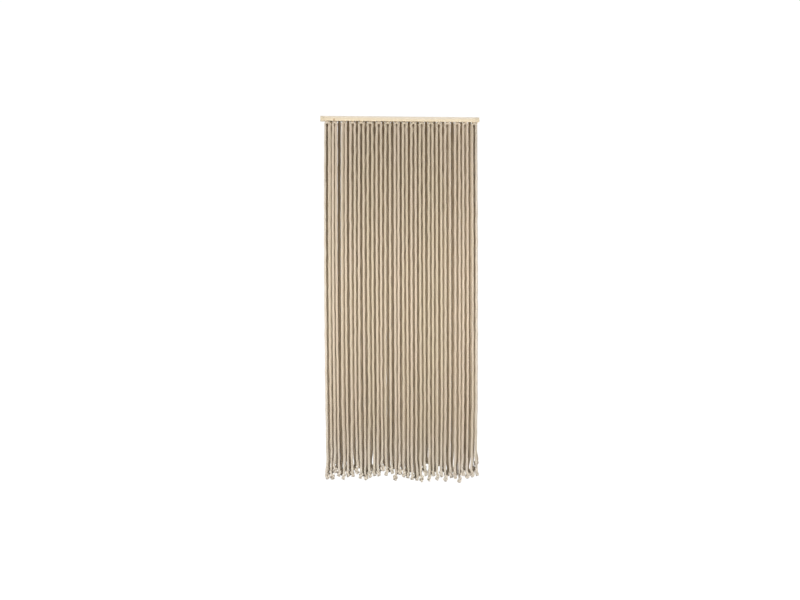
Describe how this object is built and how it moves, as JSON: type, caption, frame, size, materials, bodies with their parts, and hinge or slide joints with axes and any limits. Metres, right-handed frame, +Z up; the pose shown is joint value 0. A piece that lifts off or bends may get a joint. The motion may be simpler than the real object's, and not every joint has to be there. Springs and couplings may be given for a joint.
{
  "type": "rope door curtain with wooden rail",
  "caption": "Door curtain of soft looped ropes with knotted ends, in two staggered rows under a plain wooden rail.",
  "frame": {"origin": "centre of the rail's back face, which lies on the wall or door frame", "axes": "+X along the rail, to the right as seen from the front; +Y out of the rail's back face, so the front of the curtain faces -Y; +Z up, with the ropes hanging towards -Z"},
  "size_m": [0.9, 0.0495, 2.071],
  "materials": {
    "rail_wood": "raw planed softwood, matt",
    "cotton_rope": "soft twisted natural cotton, undyed"
  },
  "bodies": {
    "root": {"rail": "rail_wood", "front_rope_01": "cotton_rope", "front_rope_02": "cotton_rope", "front_rope_03": "cotton_rope", "front_rope_04": "cotton_rope", "front_rope_05": "cotton_rope", "front_rope_06": "cotton_rope", "front_rope_07": "cotton_rope", "front_rope_08": "cotton_rope", "front_rope_09": "cotton_rope", "front_rope_10": "cotton_rope", "front_rope_11": "cotton_rope", "front_rope_12": "cotton_rope", "front_rope_13": "cotton_rope", "front_rope_14": "cotton_rope", "front_rope_15": "cotton_rope", "front_rope_16": "cotton_rope", "front_rope_17": "cotton_rope", "front_rope_18": "cotton_rope", "back_rope_01": "cotton_rope", "back_rope_02": "cotton_rope", "back_rope_03": "cotton_rope", "back_rope_04": "cotton_rope", "back_rope_05": "cotton_rope", "back_rope_06": "cotton_rope", "back_rope_07": "cotton_rope", "back_rope_08": "cotton_rope", "back_rope_09": "cotton_rope", "back_rope_10": "cotton_rope", "back_rope_11": "cotton_rope", "back_rope_12": "cotton_rope", "back_rope_13": "cotton_rope", "back_rope_14": "cotton_rope", "back_rope_15": "cotton_rope", "back_rope_16": "cotton_rope", "back_rope_17": "cotton_rope", "back_rope_18": "cotton_rope"}
  },
  "joints": []
}
